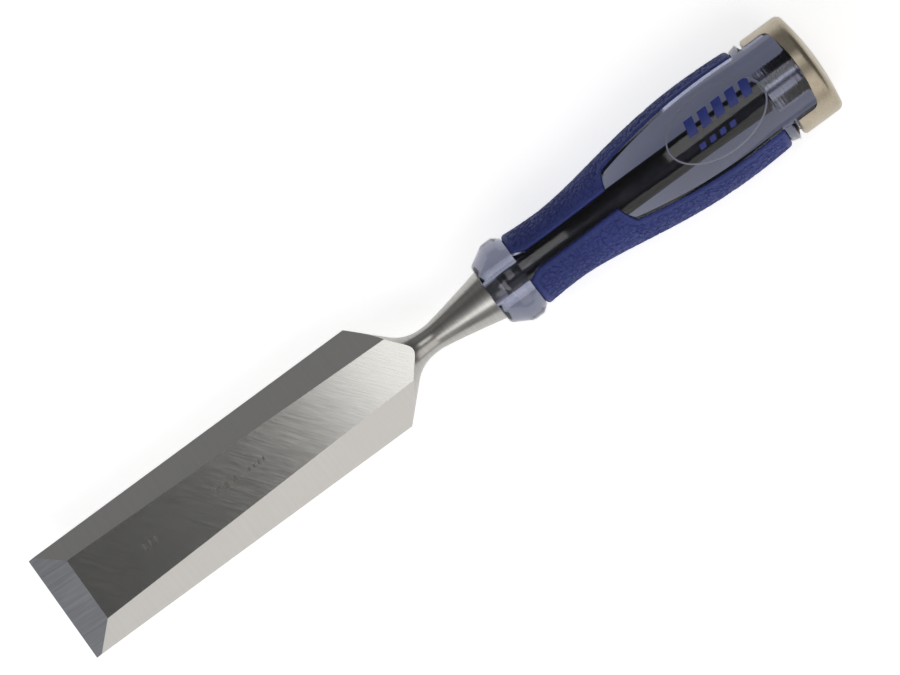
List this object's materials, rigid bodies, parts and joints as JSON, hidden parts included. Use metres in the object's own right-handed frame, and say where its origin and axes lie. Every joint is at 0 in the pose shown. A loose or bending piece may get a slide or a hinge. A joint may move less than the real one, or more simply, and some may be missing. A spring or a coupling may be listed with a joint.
{
  "type": "bevel-edge chisel",
  "caption": "Wide bevel-edge wood chisel with a forged steel blade, clear handle with soft side grips, and a steel strike cap.",
  "frame": {"origin": "middle of the cutting edge, on the flat back of the blade", "axes": "+X from the cutting edge to the strike cap, +Z out of the bevelled side of the blade, away from the flat back, +Y to the tool's left when seen from the handle with the bevel up"},
  "size_m": [0.297, 0.0382, 0.0364],
  "materials": {
    "blade_steel": "ground faces with fine diagonal scratches, polished neck, blackened tang",
    "clear_plastic": "clear moulding with a blue-grey tint, polished",
    "soft_grip": "matt soft-touch rubber with a leathery grain and a smooth border",
    "plated_steel": "satin champagne plating",
    "bright_steel": "bright turned steel with fine rings"
  },
  "bodies": {
    "root": {"blade": "blade_steel", "handle_core": "clear_plastic", "grip_left": "soft_grip", "grip_right": "soft_grip", "strike_cap": "plated_steel", "strike_plug": "bright_steel"}
  },
  "joints": []
}
